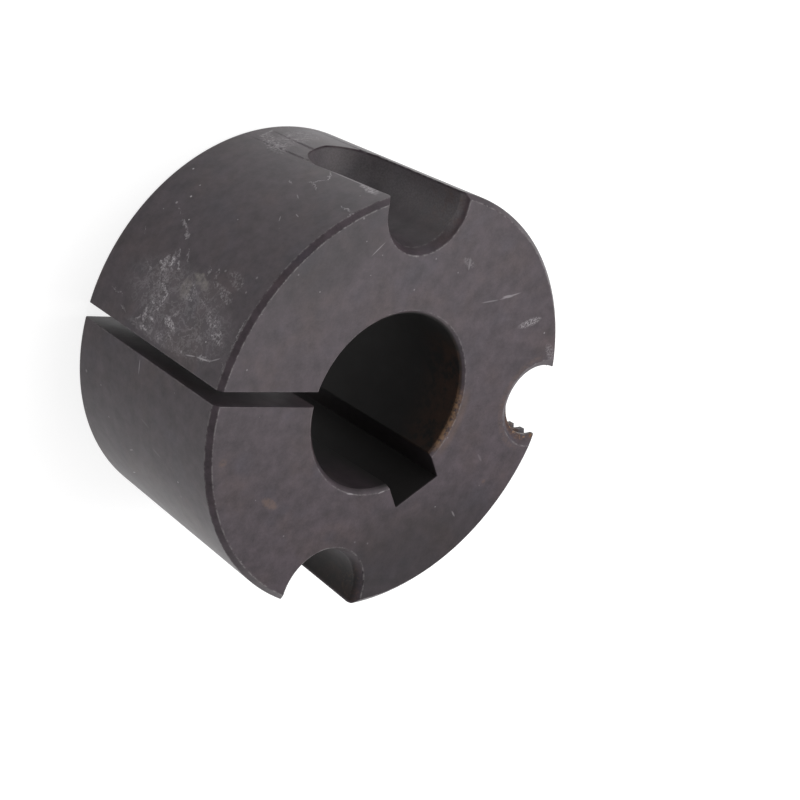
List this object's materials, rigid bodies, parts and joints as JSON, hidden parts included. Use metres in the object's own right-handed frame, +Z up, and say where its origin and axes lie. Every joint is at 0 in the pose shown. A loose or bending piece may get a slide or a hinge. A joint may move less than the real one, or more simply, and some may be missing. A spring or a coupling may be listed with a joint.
{
  "type": "split taper bush",
  "caption": "Split taper bush with a keyed bore, plain half-holes for its closing screws and a tapped half-hole for its removal screw in the rim of its large end.",
  "frame": {"origin": "centre of the bore on the face of the small end, which the bush stands on", "axes": "+Z up the bore from the small end to the large end, +X towards the half-hole for the removal screw; the slit is on the -X side"},
  "size_m": [0.0472, 0.0472, 0.0254],
  "materials": {
    "blackened_iron": "satin"
  },
  "bodies": {
    "root": {"taper_bush": "blackened_iron"}
  },
  "joints": []
}
